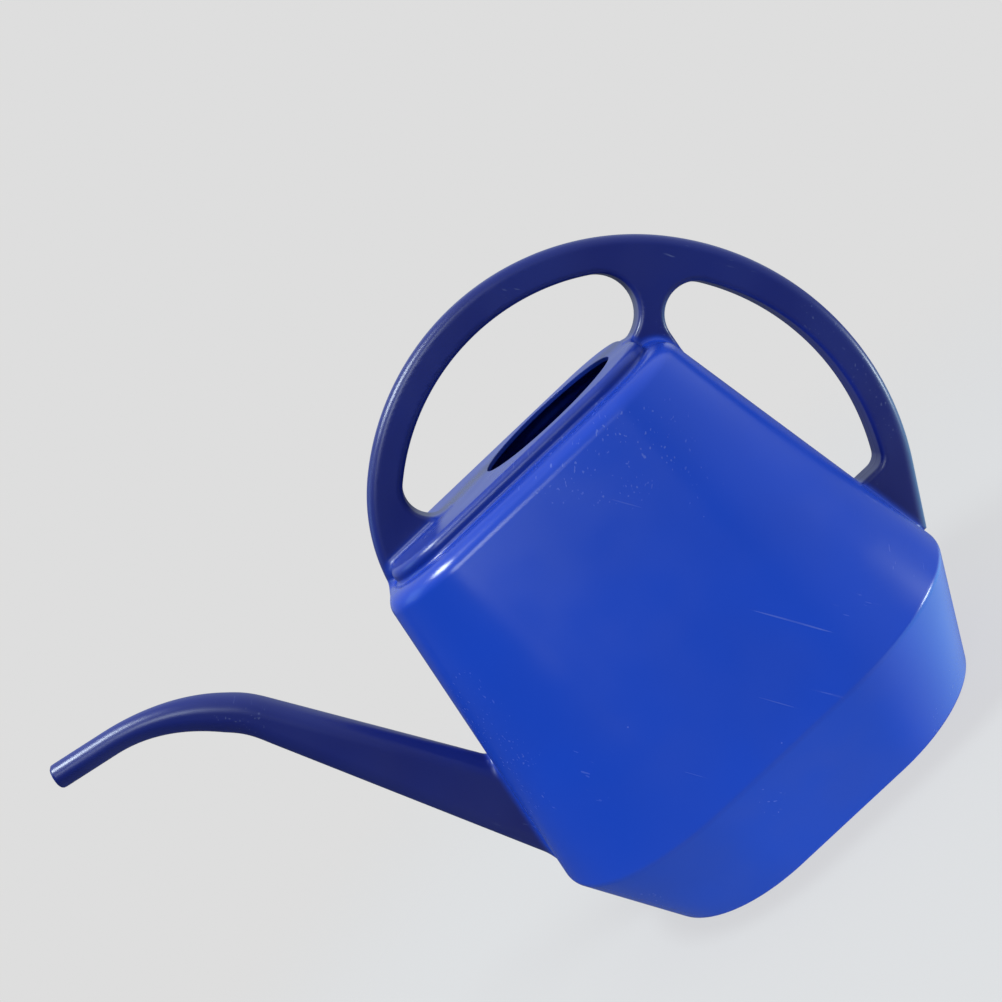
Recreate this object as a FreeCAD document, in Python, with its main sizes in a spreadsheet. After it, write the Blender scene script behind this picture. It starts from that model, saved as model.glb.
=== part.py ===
import FreeCAD, Part
import math
import os
import re

from FreeCAD import Placement, Rotation, Vector
import Sketcher

# A one-piece blow-moulded watering can, divided at its natural boundaries.
# Millimetres. Z is up, X runs from the spout (-X) to the handle (+X), and the
# origin is on the floor under the middle of the tank. "length" and "width" of
# a tank section are half sizes, measured from the origin along X and Y.
DIMENSIONS = {
    "wall": 2.0,
    # tank sections from the floor up: the foot's round, the tapered band up to
    # the crease, the main walls and the round into the ledge
    "foot_height": 0.0,
    "foot_length": 77.6,
    "foot_width": 60.0,
    "foot_corner": 51.4,
    "heel_height": 1.6,
    "heel_length": 79.3,
    "heel_width": 61.7,
    "heel_corner": 52.9,
    "crease_height": 46.3,
    "crease_length": 100.0,
    "crease_width": 82.8,
    "crease_corner": 67.8,
    "brow_height": 172.4,
    "brow_length": 75.6,
    "brow_width": 56.3,
    "brow_corner": 35.7,
    "shoulder_height": 176.8,
    "shoulder_length": 73.3,
    "shoulder_width": 54.1,
    "shoulder_corner": 33.4,
    "ledge_height": 179.5,
    "ledge_length": 69.0,
    "ledge_width": 49.8,
    "ledge_corner": 29.2,
    "push_up": 2.0,
    "push_up_margin": 8.0,
    # raised deck with the fill opening
    "deck_height": 185.6,
    "collar_length": 66.0,
    "collar_width": 43.6,
    "collar_corner": 26.0,
    "collar_round": 3.2,
    "opening_x": 22.1,
    "opening_radius": 33.2,
    # handle hoop: three tangent arcs, the rear one of a stated radius
    "hoop_thickness": 16.0,
    "hoop_edge": 4.0,
    "hoop_radius": 119.3,
    "hoop_rear_x": 13.4,
    "hoop_rear_z": 127.6,
    "hoop_top_x": 22.4,
    "hoop_top_z": 135.4,
    "hoop_front_x": 2.5,
    "hoop_front_z": 159.0,
    "tail_angle": 29.6,
    "tail_height": 44.1,
    "tail_inside_x": 80.0,
    # carry opening, over the deck
    "carry_radius": 93.2,
    "carry_rear_radius": 15.8,
    "carry_front_radius": 11.6,
    "carry_floor": 185.0,
    # pour opening, behind the tank
    "pour_x": 19.7,
    "pour_z": 125.8,
    "pour_radius": 100.2,
    "pour_top_radius": 13.0,
    "pour_top_z": 173.9,
    "pour_low_radius": 6.5,
    "pour_floor": 77.4,
    "pour_lean": 8.0,
    # spout: flat-sided root, bend, round tip
    "root_height": 71.5,
    "root_reach": 25.5,
    "root_width": 8.0,
    "root_corner": 6.6,
    "neck_reach": 8.5,
    "neck_width": 7.3,
    "neck_corner": 6.4,
    "bend_x": -212.5,
    "bend_z": 134.3,
    "bend_radius": 77.9,
    "bend_start": 57.9,
    "bend_end": 10.9,
    "tip_radius": 5.3,
    "tip_length": 25.4,
}
BEND_STEPS = 4
ALMOST_ROUND = 0.97

# how much of the wall each inner section moves inwards and down
WALL_SHARES = {
    "foot": (1.0, 0.0),
    "heel": (1.0, 0.0),
    "crease": (1.0, 0.0),
    "brow": (1.0, 0.0),
    "shoulder": (0.9, 0.7),
    "ledge": (0.5, 1.0),
}
LIFTED_LEVELS = ("foot", "heel")
INNER_LINE = 5
NEAR = 0.01

# where the loops' end arcs meet the grips, as angles about the grips' centres
CARRY_REAR_ANGLE = (
    "asin((carry_floor + carry_rear_radius - hoop_top_z) / (carry_radius - carry_rear_radius))"
)
CARRY_FRONT_ANGLE = (
    "180 deg - asin((carry_floor + carry_front_radius - hoop_top_z) / (carry_radius - carry_front_radius))"
)
ROOT_X = (
    "(crease_length - brow_length) * (root_height - crease_height)"
    " / (brow_height - crease_height) - crease_length"
)
WALL_LEAN = "atan2(brow_height - crease_height; crease_length - brow_length)"
POUR_TOP_ANGLE = "asin((pour_top_z - pour_z) / (pour_radius - pour_top_radius))"
POUR_LOW_ANGLE = "asin((pour_floor + pour_low_radius - pour_z) / (pour_radius - pour_low_radius))"

ALIASES = {alias: f"Dims.{alias}" for alias in DIMENSIONS}

document = FreeCAD.newDocument("watering_can")


def make_sheet():
    """The driving dimensions, one alias each."""
    sheet = document.addObject("Spreadsheet::Sheet", "Dims")
    for row, (alias, value) in enumerate(DIMENSIONS.items(), start=1):
        sheet.set(f"A{row}", alias)
        sheet.set(f"B{row}", str(value))
        sheet.setAlias(f"B{row}", alias)
    document.recompute()
    return sheet


def bound(text):
    """Turns plain alias names in an expression into references to the sheet."""
    return re.sub("[a-z_]+", lambda word: ALIASES.get(word[0], word[0]), text)


def number(text):
    """The present value of an expression, for a sketch's first guess."""
    return float(sheet.evalExpression(bound(text)))


def make_body(name):
    body = document.addObject("PartDesign::Body", name)
    body.Label = name
    return body


def origin_plane(body, role):
    for feature in body.Origin.OriginFeatures:
        if feature.Role == role:
            return feature
    raise ValueError(f"{body.Label} has no {role}")


def make_sketch(body, name, role="XY_Plane"):
    sketch = body.newObject("Sketcher::SketchObject", name)
    sketch.AttachmentSupport = [(origin_plane(body, role), "")]
    sketch.MapMode = "FlatFace"
    return sketch


def tilt_section(sketch, place_x, place_z, tilt):
    """Moves a section along X and Z and leans its normal from +Z towards -X."""
    sketch.AttachmentOffset = Placement(Vector(0, 0, 0), Rotation(Vector(0, -1, 0), 1))
    sketch.setExpression("AttachmentOffset.Base.x", bound(place_x))
    sketch.setExpression("AttachmentOffset.Base.z", bound(place_z))
    sketch.setExpression("AttachmentOffset.Rotation.Angle", bound(tilt))


def constrain(sketch, name, expression, *constraint):
    """Adds a dimension that follows the sheet."""
    value = number(expression)
    if constraint[0] == "Angle":
        value = math.radians(value)
    index = sketch.addConstraint(Sketcher.Constraint(*constraint, value))
    sketch.renameConstraint(index, name)
    sketch.setExpression(f"Constraints.{name}", bound(expression))


def rounded_rectangle(sketch, length, width, corner):
    """Four sides and four equal corner arcs about the sketch's origin."""
    reach_x, reach_y, radius = number(length), number(width), number(corner)
    in_x, in_y = reach_x - radius, reach_y - radius
    corners = [(in_x, -in_y), (in_x, in_y), (-in_x, in_y), (-in_x, -in_y)]
    arcs = []
    for turn, (x, y) in enumerate(corners):
        start = math.radians(90 * turn - 90)
        circle = Part.Circle(Vector(x, y, 0), Vector(0, 0, 1), radius)
        arcs.append(sketch.addGeometry(Part.ArcOfCircle(circle, start, start + math.pi / 2)))
    sides = []
    for turn in range(4):
        first = sketch.Geometry[arcs[turn]].EndPoint
        last = sketch.Geometry[arcs[(turn + 1) % 4]].StartPoint
        sides.append(sketch.addGeometry(Part.LineSegment(first, last)))
    for turn in range(4):
        sketch.addConstraint(Sketcher.Constraint("Tangent", arcs[turn], 2, sides[turn], 1))
        sketch.addConstraint(Sketcher.Constraint("Tangent", sides[turn], 2, arcs[(turn + 1) % 4], 1))
    for turn in range(1, 4):
        sketch.addConstraint(Sketcher.Constraint("Equal", arcs[0], arcs[turn]))
    sketch.addConstraint(Sketcher.Constraint("Vertical", sides[0]))
    sketch.addConstraint(Sketcher.Constraint("Horizontal", sides[1]))
    constrain(sketch, "corner", corner, "Radius", arcs[0])
    constrain(sketch, "right", length, "DistanceX", -1, 1, sides[0], 1)
    constrain(sketch, "left", length, "DistanceX", sides[2], 1, -1, 1)
    constrain(sketch, "back", width, "DistanceY", -1, 1, sides[1], 1)
    constrain(sketch, "front", width, "DistanceY", sides[3], 1, -1, 1)


def tank_section(body, name, length, width, corner, height):
    sketch = make_sketch(body, name)
    sketch.setExpression("AttachmentOffset.Base.z", bound(height))
    rounded_rectangle(sketch, length, width, corner)
    return sketch


def make_loft(body, name, sections, ruled=True):
    loft = body.newObject("PartDesign::AdditiveLoft", name)
    loft.Profile = sections[0]
    loft.Sections = sections[1:]
    loft.Ruled = ruled
    document.recompute()
    return loft


def make_pad(body, name, sketch, length, both_ways=False):
    pad = body.newObject("PartDesign::Pad", name)
    pad.Profile = sketch
    pad.setExpression("Length", bound(length))
    if both_ways:
        pad.SideType = "Symmetric"
    document.recompute()
    return pad


def edges_where(shape, test):
    return [f"Edge{i}" for i, edge in enumerate(shape.Edges, start=1) if test(edge)]


def level_edges(shape, height):
    """Names of the edges that lie at one height."""
    def lies_there(edge):
        box = edge.BoundBox
        return abs(box.ZMin - height) < NEAR and abs(box.ZMax - height) < NEAR
    return edges_where(shape, lies_there)


def round_edges(body, name, base, edges, radius):
    fillet = body.newObject("PartDesign::Fillet", name)
    fillet.Base = (base, edges)
    fillet.setExpression("Radius", bound(radius))
    document.recompute()
    return fillet


def tank_levels(inset):
    """Size and height of each tank section; an inset gives the wall's inner face."""
    lift = "0" if inset == "0" else "(push_up + wall)"
    levels = {}
    for level, (inward, down) in WALL_SHARES.items():
        sizes = []
        for kind in ("length", "width", "corner"):
            slope = f"(crease_{kind} - heel_{kind}) / (crease_height - heel_height)"
            rise = f" + {slope} * {lift}" if level in LIFTED_LEVELS else ""
            sizes.append(f"{level}_{kind} - {inward} * {inset}{rise}")
        rise = f" + {lift}" if level in LIFTED_LEVELS else ""
        levels[level] = (*sizes, f"{level}_height - {down} * {inset}{rise}")
    return levels


def tank_solid(name, inset):
    """The tank's outside with inset "0", or the space inside it with the wall as inset."""
    body = make_body(name)
    sections = []
    for level, sizes in tank_levels(inset).items():
        sections.append(tank_section(body, f"{name}_{level}", *sizes))
    make_loft(body, f"{name}_walls", sections)
    collar = tank_section(
        body,
        f"{name}_collar",
        f"collar_length - {inset}",
        f"collar_width - {inset}",
        f"collar_corner - {inset}",
        f"ledge_height - {inset}",
    )
    raised = make_pad(body, f"{name}_deck", collar, "deck_height - ledge_height")
    rim = level_edges(raised.Shape, number(f"deck_height - {inset}"))
    round_edges(body, f"{name}_rim", raised, rim, f"collar_round - {inset}")
    return body


def tank_outside():
    """The tank's outside, with the shallow recess under its foot."""
    body = tank_solid("tank_outside", "0")
    recess = tank_section(
        body,
        "push_up_outline",
        "foot_length - push_up_margin",
        "foot_width - push_up_margin",
        "foot_corner - push_up_margin",
        "foot_height",
    )
    before = body.Shape.Volume
    pocket = body.newObject("PartDesign::Pocket", "push_up_recess")
    pocket.Profile = recess
    pocket.Reversed = True
    pocket.setExpression("Length", bound("push_up"))
    document.recompute()
    if body.Shape.Volume >= before:
        raise ValueError("the push-up recess cut nothing")
    return body


def arc_at(centre_x, centre_z, radius, first, last):
    """An arc in a sketch on the XZ plane, anticlockwise between two angles in degrees."""
    circle = Part.Circle(Vector(centre_x, centre_z, 0), Vector(0, 0, 1), radius)
    return Part.ArcOfCircle(circle, math.radians(first), math.radians(last))


def tangent(sketch, first, first_end, second, second_end):
    sketch.addConstraint(Sketcher.Constraint("Tangent", first, first_end, second, second_end))


def pin_centre(sketch, name, arc, centre_x, centre_z):
    constrain(sketch, f"{name}_x", centre_x, "DistanceX", -1, 1, arc, 3)
    constrain(sketch, f"{name}_z", centre_z, "DistanceY", -1, 1, arc, 3)


def hoop_outline(sketch, inset):
    """The hoop's outer edge, closed by straight lines that run inside the tank."""
    rear = Vector(number("hoop_rear_x"), number("hoop_rear_z"), 0)
    top = Vector(number("hoop_top_x"), number("hoop_top_z"), 0)
    front = Vector(number("hoop_front_x"), number("hoop_front_z"), 0)
    radius = number(f"hoop_radius - {inset}")
    top_radius = radius - rear.distanceToPoint(top)
    front_radius = top_radius - top.distanceToPoint(front)
    first_joint = math.degrees(math.atan2(top.y - rear.y, top.x - rear.x))
    second_joint = math.degrees(math.atan2(front.y - top.y, front.x - top.x))
    tail = number("tail_angle")
    rear_arc = sketch.addGeometry(arc_at(rear.x, rear.y, radius, -tail, first_joint))
    top_arc = sketch.addGeometry(arc_at(top.x, top.y, top_radius, first_joint, second_joint))
    front_arc = sketch.addGeometry(arc_at(front.x, front.y, front_radius, second_joint, 180))
    tail_start = sketch.Geometry[rear_arc].StartPoint
    tail_height = number(f"tail_height + {inset}")
    drop = (tail_start.y - tail_height) * math.tan(math.radians(tail))
    tail_tip = Vector(tail_start.x - drop, tail_height, 0)
    inside = Vector(number("tail_inside_x"), tail_height, 0)
    tail_line = sketch.addGeometry(Part.LineSegment(tail_tip, tail_start))
    under_line = sketch.addGeometry(Part.LineSegment(inside, tail_tip))
    front_end = sketch.Geometry[front_arc].EndPoint
    inner_line = sketch.addGeometry(Part.LineSegment(front_end, inside))
    tangent(sketch, tail_line, 2, rear_arc, 1)
    tangent(sketch, rear_arc, 2, top_arc, 1)
    tangent(sketch, top_arc, 2, front_arc, 1)
    for first, second in ((front_arc, inner_line), (inner_line, under_line), (under_line, tail_line)):
        sketch.addConstraint(Sketcher.Constraint("Coincident", first, 2, second, 1))
    sketch.addConstraint(Sketcher.Constraint("Horizontal", front_arc, 2, front_arc, 3))
    sketch.addConstraint(Sketcher.Constraint("Horizontal", under_line))
    pin_centre(sketch, "hoop_rear", rear_arc, "hoop_rear_x", "hoop_rear_z")
    pin_centre(sketch, "hoop_top", top_arc, "hoop_top_x", "hoop_top_z")
    pin_centre(sketch, "hoop_front", front_arc, "hoop_front_x", "hoop_front_z")
    constrain(sketch, "hoop_radius", f"hoop_radius - {inset}", "Radius", rear_arc)
    constrain(sketch, "tail_lean", "90 - tail_angle", "Angle", tail_line)
    constrain(sketch, "tail_height", f"tail_height + {inset}", "DistanceY", -1, 1, under_line, 1)
    constrain(sketch, "tail_inside", "tail_inside_x", "DistanceX", -1, 1, under_line, 1)


def carry_outline(sketch, inset):
    """The opening over the deck: the grip's underside, two end arcs and a flat floor."""
    x, z = number("hoop_top_x"), number("hoop_top_z")
    radius = number(f"carry_radius + {inset}")
    rear_radius = number(f"carry_rear_radius + {inset}")
    front_radius = number(f"carry_front_radius + {inset}")
    floor = number(f"carry_floor - {inset}")
    rear_angle, front_angle = number(CARRY_REAR_ANGLE), number(CARRY_FRONT_ANGLE)
    rear_x = x + (radius - rear_radius) * math.cos(math.radians(rear_angle))
    front_x = x + (radius - front_radius) * math.cos(math.radians(front_angle))
    over = sketch.addGeometry(arc_at(x, z, radius, rear_angle, front_angle))
    front = sketch.addGeometry(arc_at(front_x, floor + front_radius, front_radius, front_angle, 270))
    rear = sketch.addGeometry(arc_at(rear_x, floor + rear_radius, rear_radius, -90, rear_angle))
    first, last = Vector(front_x, floor, 0), Vector(rear_x, floor, 0)
    line = sketch.addGeometry(Part.LineSegment(first, last))
    tangent(sketch, over, 2, front, 1)
    tangent(sketch, front, 2, line, 1)
    tangent(sketch, line, 2, rear, 1)
    tangent(sketch, rear, 2, over, 1)
    sketch.addConstraint(Sketcher.Constraint("Horizontal", line))
    pin_centre(sketch, "carry", over, "hoop_top_x", "hoop_top_z")
    constrain(sketch, "carry_radius", f"carry_radius + {inset}", "Radius", over)
    constrain(sketch, "carry_front", f"carry_front_radius + {inset}", "Radius", front)
    constrain(sketch, "carry_rear", f"carry_rear_radius + {inset}", "Radius", rear)
    constrain(sketch, "carry_floor", f"carry_floor - {inset}", "DistanceY", -1, 1, line, 1)


def pour_outline(sketch, inset):
    """The opening behind the tank. Its leaning front line ends inside the tank."""
    x, z = number("pour_x"), number("pour_z")
    radius = number(f"pour_radius + {inset}")
    top_radius = number(f"pour_top_radius + {inset}")
    low_radius = number(f"pour_low_radius + {inset}")
    floor = number(f"pour_floor - {inset}")
    top_angle, low_angle = number(POUR_TOP_ANGLE), number(POUR_LOW_ANGLE)
    lean = number("pour_lean")
    top_x = x + (radius - top_radius) * math.cos(math.radians(top_angle))
    low_x = x + (radius - low_radius) * math.cos(math.radians(low_angle))
    right = sketch.addGeometry(arc_at(x, z, radius, low_angle, top_angle))
    top = sketch.addGeometry(arc_at(top_x, number("pour_top_z"), top_radius, top_angle, 180 - lean))
    low = sketch.addGeometry(arc_at(low_x, floor + low_radius, low_radius, -90, low_angle))
    first = sketch.Geometry[top].EndPoint
    drop = (first.y - floor) * math.tan(math.radians(lean))
    last = Vector(first.x - drop, floor, 0)
    front_line = sketch.addGeometry(Part.LineSegment(first, last))
    floor_line = sketch.addGeometry(Part.LineSegment(last, Vector(low_x, floor, 0)))
    tangent(sketch, right, 2, top, 1)
    tangent(sketch, top, 2, front_line, 1)
    sketch.addConstraint(Sketcher.Constraint("Coincident", front_line, 2, floor_line, 1))
    tangent(sketch, floor_line, 2, low, 1)
    tangent(sketch, low, 2, right, 1)
    sketch.addConstraint(Sketcher.Constraint("Horizontal", floor_line))
    pin_centre(sketch, "pour", right, "pour_x", "pour_z")
    constrain(sketch, "pour_radius", f"pour_radius + {inset}", "Radius", right)
    constrain(sketch, "pour_top", f"pour_top_radius + {inset}", "Radius", top)
    constrain(sketch, "pour_top_z", "pour_top_z", "DistanceY", -1, 1, top, 3)
    constrain(sketch, "pour_low", f"pour_low_radius + {inset}", "Radius", low)
    constrain(sketch, "pour_floor", f"pour_floor - {inset}", "DistanceY", -1, 1, floor_line, 2)
    constrain(sketch, "pour_lean", "0 - pour_lean - 90", "Angle", front_line)


def handle_solid(name, inset, edge):
    """The hoop with its two openings, as a plate with rounded edges."""
    body = make_body(name)
    sketch = make_sketch(body, f"{name}_outline", "XZ_Plane")
    hoop_outline(sketch, inset)
    carry_outline(sketch, inset)
    pour_outline(sketch, inset)
    pad = make_pad(body, f"{name}_plate", sketch, f"hoop_thickness - 2 * {inset}", both_ways=True)
    half = number(f"hoop_thickness / 2 - {inset}")
    floor = number(f"tail_height + {inset}")
    inner_line = sketch.Geometry[INNER_LINE]
    joint = (inner_line.StartPoint + inner_line.EndPoint) / 2

    def is_rim(edge):
        middle = edge.valueAt((edge.FirstParameter + edge.LastParameter) / 2)
        on_side = abs(abs(middle.y) - half) < NEAR and edge.BoundBox.YLength < NEAR
        closes_inside = abs(middle.x - joint.x) < NEAR and abs(middle.z - joint.y) < NEAR
        return on_side and middle.z > floor + NEAR and not closes_inside

    round_edges(body, f"{name}_edges", pad, edges_where(pad.Shape, is_rim), edge)
    return body


def make_cylinder(name, radius, height):
    cylinder = document.addObject("Part::Cylinder", name)
    cylinder.setExpression("Radius", bound(radius))
    cylinder.setExpression("Height", bound(height))
    return cylinder


def hoop_sector(name, centre_x, centre_z, first, last):
    """A slice about one of the hoop's centres, between two angles from +X towards +Z."""
    sector = make_cylinder(name, "hoop_radius * 2", "hoop_thickness * 2")
    sector.setExpression("Angle", bound(f"({last}) - ({first})"))
    upright = Rotation(Vector(1, 0, 0), 90)
    turned = upright.multiply(Rotation(Vector(0, 0, 1), number(first)))
    sector.Placement = Placement(Vector(0, 0, 0), turned)
    sector.setExpression("Placement.Base.x", bound(centre_x))
    sector.setExpression("Placement.Base.y", bound("hoop_thickness"))
    sector.setExpression("Placement.Base.z", bound(centre_z))
    return sector


def slab(name, low, high):
    """A block wider than the can, between two heights."""
    box = document.addObject("Part::Box", name)
    box.setExpression("Length", bound("hoop_radius * 4"))
    box.setExpression("Width", bound("hoop_radius * 4"))
    box.setExpression("Height", bound(f"{high} - {low}"))
    box.setExpression("Placement.Base.x", bound("-hoop_radius * 2"))
    box.setExpression("Placement.Base.y", bound("-hoop_radius * 2"))
    box.setExpression("Placement.Base.z", bound(low))
    return box


def cut(name, base, *tools):
    """base less every tool."""
    result = base
    for step, tool in enumerate(tools, start=1):
        last = step == len(tools)
        cutting = document.addObject("Part::Cut", name if last else f"{name}_cut_{step}")
        cutting.Base = result
        cutting.Tool = tool
        result = cutting
    result.Label = name
    document.recompute()
    return result


def common(name, base, cell):
    """The share of base that lies in one cell."""
    shared = document.addObject("Part::Common", name)
    shared.Base = base
    shared.Tool = cell
    shared.Label = name
    document.recompute()
    return shared


def tilted_section(body, name, reach, width, corner, place):
    """A rounded rectangle in a plane that leans back, at a place (x, z, lean)."""
    sketch = make_sketch(body, name)
    tilt_section(sketch, *place)
    rounded_rectangle(sketch, reach, width, corner)
    return sketch


def bend_place(angle):
    """Where the spout's middle line climbs at this angle, and the lean of its section."""
    return (
        f"bend_x + bend_radius * sin(({angle}) * 1 deg)",
        f"bend_z + bend_radius * cos(({angle}) * 1 deg)",
        f"90 - ({angle})",
    )


def root_loft(name, inset):
    """The spout's flared root, from the tank's front wall to the start of the bend."""
    body = make_body(name)
    at_wall = tilted_section(
        body,
        f"{name}_wall_end",
        f"root_reach - {inset}",
        f"root_width - {inset}",
        f"root_corner - {inset}",
        (ROOT_X, "root_height", WALL_LEAN),
    )
    at_bend = tilted_section(
        body,
        f"{name}_bend_end",
        f"neck_reach - {inset}",
        f"neck_width - {inset}",
        f"neck_corner - {inset}",
        bend_place("bend_start"),
    )
    make_loft(body, f"{name}_loft", [at_wall, at_bend])
    return body


def spout_port():
    """The passage through the tank's front wall into the spout."""
    body = make_body("spout_port")
    outline = tilted_section(
        body,
        "port_outline",
        "root_reach - wall",
        "root_width - wall",
        "root_corner - wall",
        (ROOT_X, "root_height", WALL_LEAN),
    )
    make_pad(body, "port_pad", outline, "wall * 2", both_ways=True)
    return body


def neck_loft(name, inset):
    """The bend, easing from the root's oblong section to the round tip."""
    body = make_body(name)
    sections = []
    for step in range(BEND_STEPS + 1):
        share = step / BEND_STEPS
        ease = round(0.5 + 0.5 * math.cos(math.pi * share), 4)
        corner_end = f"(tip_radius * {ALMOST_ROUND})"
        sections.append(
            tilted_section(
                body,
                f"{name}_{step}",
                f"tip_radius + (neck_reach - tip_radius) * {ease} - {inset}",
                f"tip_radius + (neck_width - tip_radius) * {ease} - {inset}",
                f"{corner_end} + (neck_corner - {corner_end}) * {ease} - {inset}",
                bend_place(f"bend_start + (bend_end - bend_start) * {share}"),
            )
        )
    make_loft(body, f"{name}_loft", sections, ruled=False)
    return body


def spout_tip():
    """The straight round end, open right through."""
    body = make_body("spout_tip")
    sketch = make_sketch(body, "tip_ring")
    tilt_section(sketch, *bend_place("bend_end"))
    for name, radius in (("outside", "tip_radius"), ("bore", "tip_radius - wall")):
        circle = Part.Circle(Vector(0, 0, 0), Vector(0, 0, 1), number(radius))
        ring = sketch.addGeometry(circle)
        sketch.addConstraint(Sketcher.Constraint("Coincident", ring, 3, -1, 1))
        constrain(sketch, name, radius, "Radius", ring)
    make_pad(body, "tip_tube", sketch, "tip_length")
    return body


def make_spout():
    root = cut("spout_root", root_loft("root_outside", "0"), root_loft("root_inside", "wall"))
    neck = cut("spout_neck", neck_loft("neck_outside", "0"), neck_loft("neck_inside", "wall"))
    return [root, neck, spout_tip()]


def make_handle(outside, inside, tank):
    """The hollow hoop outside the tank, divided where its openings' end arcs begin."""
    shell = cut("handle_shell", outside, inside, tank)
    top, rear = ("hoop_top_x", "hoop_top_z"), ("pour_x", "pour_z")
    rear_sector = hoop_sector("rear_sector", *rear, POUR_LOW_ANGLE, POUR_TOP_ANGLE)
    rear_core = hoop_sector("rear_core", *rear, POUR_LOW_ANGLE, POUR_TOP_ANGLE)
    rear_core.setExpression("Radius", bound("pour_radius - pour_top_radius"))
    cells = {
        "handle_front_foot": hoop_sector("front_cell", *top, CARRY_FRONT_ANGLE, "215 deg"),
        "carry_grip": hoop_sector("carry_cell", *top, CARRY_REAR_ANGLE, CARRY_FRONT_ANGLE),
        "pour_grip": cut("pour_cell", rear_sector, rear_core),
        "handle_rear_foot": hoop_sector("rear_cell", *rear, "-80 deg", POUR_LOW_ANGLE),
    }
    pieces = [common(name, shell, cell) for name, cell in cells.items()]
    pieces.append(cut("finger_strut", shell, *cells.values()))
    return pieces


def make_tank(outside, handle_space):
    """The tank's hollow shell, divided at its crease and at its shoulder."""
    inside = tank_solid("tank_inside", "wall")
    opening = make_cylinder("opening_cutter", "opening_radius", "wall * 3")
    opening.setExpression("Placement.Base.x", bound("opening_x"))
    opening.setExpression("Placement.Base.z", bound("deck_height - wall * 2"))
    shell = cut("tank_shell", outside, inside, opening, spout_port(), handle_space)
    levels = {
        "base_tub": ("0", "crease_height"),
        "tank_wall": ("crease_height", "brow_height"),
        "deck": ("brow_height", "deck_height"),
    }
    return [common(name, shell, slab(f"{name}_cell", *level)) for name, level in levels.items()]


def check_document():
    """Stops on any object that failed to build."""
    for item in document.Objects:
        if "Invalid" in item.State or "Error" in item.State:
            raise ValueError(f"{item.Label} did not build")


def check_solid(piece):
    shape = piece.Shape
    if shape.isNull() or not shape.isValid() or len(shape.Solids) != 1:
        raise ValueError(f"{piece.Label} is not one valid solid")


def export(pieces):
    check_document()
    for piece in pieces:
        check_solid(piece)
    os.makedirs("parts", exist_ok=True)
    for piece in pieces:
        piece.Shape.exportStep(f"parts/{piece.Label}.step")
        box = piece.Shape.BoundBox
        print(f"{piece.Label}: {piece.Shape.Volume / 1000:.1f} cm3, z {box.ZMin:.1f} to {box.ZMax:.1f}")


sheet = make_sheet()
outside = tank_outside()
handle_space = handle_solid("handle_inside", "wall", "hoop_edge - wall")
handle = make_handle(handle_solid("handle_outside", "0", "hoop_edge"), handle_space, outside)
export(make_tank(outside, handle_space) + make_spout() + handle)
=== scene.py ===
import itertools
import math

import bmesh
import bpy
import numpy as np
from mathutils import Matrix, Vector


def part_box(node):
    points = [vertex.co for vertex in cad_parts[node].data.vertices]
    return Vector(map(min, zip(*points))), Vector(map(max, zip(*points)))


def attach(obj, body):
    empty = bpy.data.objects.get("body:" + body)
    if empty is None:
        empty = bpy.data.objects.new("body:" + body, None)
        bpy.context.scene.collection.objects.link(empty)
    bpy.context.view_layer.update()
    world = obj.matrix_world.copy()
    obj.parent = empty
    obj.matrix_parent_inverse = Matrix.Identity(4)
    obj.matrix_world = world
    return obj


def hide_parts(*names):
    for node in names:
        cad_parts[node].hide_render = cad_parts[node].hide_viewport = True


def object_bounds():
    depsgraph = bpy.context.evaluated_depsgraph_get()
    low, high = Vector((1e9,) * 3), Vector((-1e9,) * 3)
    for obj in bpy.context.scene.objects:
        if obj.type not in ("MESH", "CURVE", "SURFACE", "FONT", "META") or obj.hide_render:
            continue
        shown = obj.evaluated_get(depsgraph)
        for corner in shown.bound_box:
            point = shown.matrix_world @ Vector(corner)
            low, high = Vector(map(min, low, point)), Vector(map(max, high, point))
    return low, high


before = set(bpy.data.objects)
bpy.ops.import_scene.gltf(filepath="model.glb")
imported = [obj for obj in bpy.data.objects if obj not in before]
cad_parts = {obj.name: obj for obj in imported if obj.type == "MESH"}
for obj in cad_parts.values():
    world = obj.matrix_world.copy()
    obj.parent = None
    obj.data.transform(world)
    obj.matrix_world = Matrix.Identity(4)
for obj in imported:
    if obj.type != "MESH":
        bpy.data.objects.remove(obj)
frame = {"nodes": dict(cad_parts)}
cad_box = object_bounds()

# A blow-moulded watering can. Its skin is drawn onto a distance field, once outside and once
# inside the wall, and cut into one closed shell for each CAD node.

# ---------------------------------------------------------------------------
# Sizes, in millimetres. The can's middle plane is y = 0.

MM = 0.001
BOX_LOW, BOX_HIGH = ([value / MM for value in corner] for corner in cad_box)


def box_side(node, end, axis):
    """One side of a CAD node's box, in millimetres: end is 0 for low and 1 for high."""
    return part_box(node)[end]["xyz".index(axis)] / MM


WALL = 2.0
DECK_TOP = box_side("deck", 1, "z")

# tank levels: height, half length, half width, corner radius
HEEL = (1.6, 79.3, 61.7, 52.9)
CREASE = (box_side("base_tub", 1, "z"), box_side("base_tub", 1, "x"), box_side("base_tub", 1, "y"), 67.8)
BROW = (box_side("tank_wall", 1, "z"), 75.6, 56.3, 35.7)
LEDGE_HEIGHT = 179.5

# half length, half width, corner radius
COLLAR = (66.0, 43.6, 26.0)
RECESS = (69.6, 52.0, 43.4)
RECESS_DEPTH = 2.0

# rounds along the edges
FOOT_ROUND = 2.4
CREASE_ROUND = 0.8
SHOULDER_ROUND = 6.5
COLLAR_ROUND = 3.4
COVE_ROUND = 1.6
RECESS_ROUND = 1.5

# fill opening: its centre along x, its radius, and the round on its edges
OPENING = (22.1, 33.2)
OPENING_BEVEL = 0.35

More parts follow.
